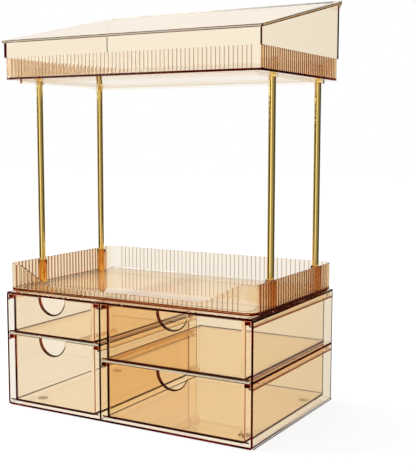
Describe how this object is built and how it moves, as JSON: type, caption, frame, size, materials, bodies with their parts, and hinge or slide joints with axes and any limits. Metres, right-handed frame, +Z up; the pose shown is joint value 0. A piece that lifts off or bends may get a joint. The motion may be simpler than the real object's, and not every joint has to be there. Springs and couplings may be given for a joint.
{
  "type": "makeup organizer with drawers",
  "caption": "Tiered makeup organizer: drawer case with finger grips, a reeded tray on top, and a raised bin with a slanted hinged lid on slim posts.",
  "frame": {"origin": "centre of the floor rectangle under the whole object, on the floor", "axes": "+Z up, +X to the right seen from the front, -Y towards the drawer fronts"},
  "size_m": [0.3284, 0.2126, 0.467],
  "materials": {
    "amber": "clear, tinted amber, polished",
    "gold": "polished gold plating",
    "steel": "bright zinc plated",
    "pad": "clear soft pad"
  },
  "bodies": {
    "frame": {"case_shell": "amber", "centre_divider": "amber", "left_shelf": "amber", "right_shelf": "amber", "upper_left_runners": "amber", "lower_left_runners": "amber", "upper_right_runners": "amber", "lower_right_runners": "amber", "base_feet": "pad", "organizer_tray": "amber", "front_left_sleeve": "amber", "front_right_sleeve": "amber", "rear_left_sleeve": "amber", "rear_right_sleeve": "amber", "front_left_post": "gold", "front_right_post": "gold", "rear_left_post": "gold", "rear_right_post": "gold", "post_inserts": "steel", "base_screws": "steel", "bin_screws": "steel", "upper_bin": "amber", "hinge_pin": "steel"},
    "upper_left_drawer_body": {"upper_left_drawer": "amber"},
    "lower_left_drawer_body": {"lower_left_drawer": "amber"},
    "upper_right_drawer_body": {"upper_right_drawer": "amber"},
    "lower_right_drawer_body": {"lower_right_drawer": "amber"},
    "lid_body": {"lid": "amber"}
  },
  "joints": [
    {"name": "upper_left_slide", "type": "slide", "parent": "frame", "child": "upper_left_drawer_body", "axis": [0, -1, 0], "range_m": [0, 0.15]},
    {"name": "lower_left_slide", "type": "slide", "parent": "frame", "child": "lower_left_drawer_body", "axis": [0, -1, 0], "range_m": [0, 0.15]},
    {"name": "upper_right_slide", "type": "slide", "parent": "frame", "child": "upper_right_drawer_body", "axis": [0, -1, 0], "range_m": [0, 0.15]},
    {"name": "lower_right_slide", "type": "slide", "parent": "frame", "child": "lower_right_drawer_body", "axis": [0, -1, 0], "range_m": [0, 0.15]},
    {"name": "lid_hinge", "type": "hinge", "parent": "frame", "child": "lid_body", "pos_m": [0, 0.1042, 0.46491], "axis": [-1, 0, 0], "range_deg": [0, 110]}
  ]
}
